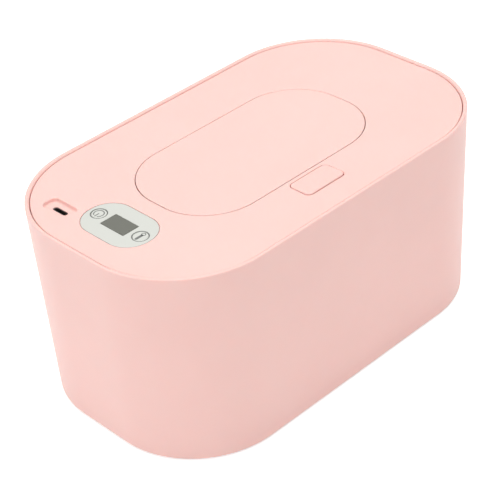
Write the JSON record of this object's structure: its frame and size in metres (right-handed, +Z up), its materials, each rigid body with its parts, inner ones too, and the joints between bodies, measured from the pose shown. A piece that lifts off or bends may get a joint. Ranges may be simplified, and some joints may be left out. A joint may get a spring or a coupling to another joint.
{
  "type": "wipe warmer",
  "caption": "Rounded tub for a stack of wipes with a lift-off heated lid, a sprung dispensing flap, a release button, a small control panel and a power socket.",
  "frame": {"origin": "on the surface that the feet stand on, under the middle of the tub", "axes": "+X along the length, the control panel being at -X; +Y to the rear, away from the release button; +Z up"},
  "size_m": [0.2, 0.12, 0.0948],
  "materials": {
    "body_pink": "satin moulded plastic",
    "natural_plastic": "natural heat-resistant plastic",
    "foot_rubber": "matt rubber",
    "silicone": "soft silicone",
    "steel": "plated steel",
    "heater_aluminium": "brushed sheet",
    "heater_film": "amber film",
    "circuit_board": "solder mask",
    "black_plastic": "moulded",
    "panel_grey": "smooth panel",
    "display_lens": "tinted window",
    "lead_red": "insulated wire",
    "lead_ivory": "insulated wire"
  },
  "bodies": {
    "base": {"body_shell": "body_pink", "inner_tub": "natural_plastic", "base_cover": "body_pink", "base_screws": "steel", "foot_front_left": "foot_rubber", "foot_front_right": "foot_rubber", "foot_rear_left": "foot_rubber", "foot_rear_right": "foot_rubber"},
    "lid": {"lid_cover": "body_pink", "lid_base": "natural_plastic", "lid_seal": "silicone", "cover_screws": "steel", "heater_plate": "heater_aluminium", "heater_film": "heater_film", "heater_leads": "lead_red", "thermal_fuse": "lead_ivory", "temperature_sensor": "black_plastic", "sensor_leads": "lead_ivory", "wipe_guide": "silicone", "control_board": "circuit_board", "board_screws": "steel", "usb_socket": "steel", "display_module": "black_plastic", "display_window": "display_lens", "panel_overlay": "panel_grey", "power_switch": "black_plastic", "temperature_switch": "black_plastic", "hinge_pin_left": "steel", "hinge_pin_right": "steel", "flap_spring_left": "steel", "flap_spring_right": "steel", "latch_hook": "natural_plastic", "button_spring": "steel"},
    "flap": {"flap": "body_pink", "flap_seal": "silicone"},
    "button": {"release_button": "body_pink"},
    "power_key": {"power_key": "panel_grey", "power_plunger": "lead_ivory"},
    "temperature_key": {"temperature_key": "panel_grey", "temperature_plunger": "lead_ivory"}
  },
  "joints": [
    {"name": "lid_lift", "type": "slide", "parent": "base", "child": "lid", "axis": [0, 0, 1], "range_m": [0, 0.09]},
    {"name": "flap_hinge", "type": "hinge", "parent": "lid", "child": "flap", "pos_m": [0, 0.0338, 0.0898], "axis": [-1, 0, 0], "range_deg": [0, 95], "deforming": ["flap_spring_left", "flap_spring_right", "latch_hook"]},
    {"name": "button_press", "type": "slide", "parent": "lid", "child": "button", "axis": [0, 0, -1], "range_m": [0, 0.002], "stiffness_N_per_m": 400, "springref_m": -0.003, "deforming": ["button_spring", "latch_hook"]},
    {"name": "power_key_press", "type": "slide", "parent": "lid", "child": "power_key", "axis": [0, 0, -1], "range_m": [0, 0.0003], "stiffness_N_per_m": 3000, "springref_m": -0.0003},
    {"name": "temperature_key_press", "type": "slide", "parent": "lid", "child": "temperature_key", "axis": [0, 0, -1], "range_m": [0, 0.0003], "stiffness_N_per_m": 3000, "springref_m": -0.0003}
  ]
}
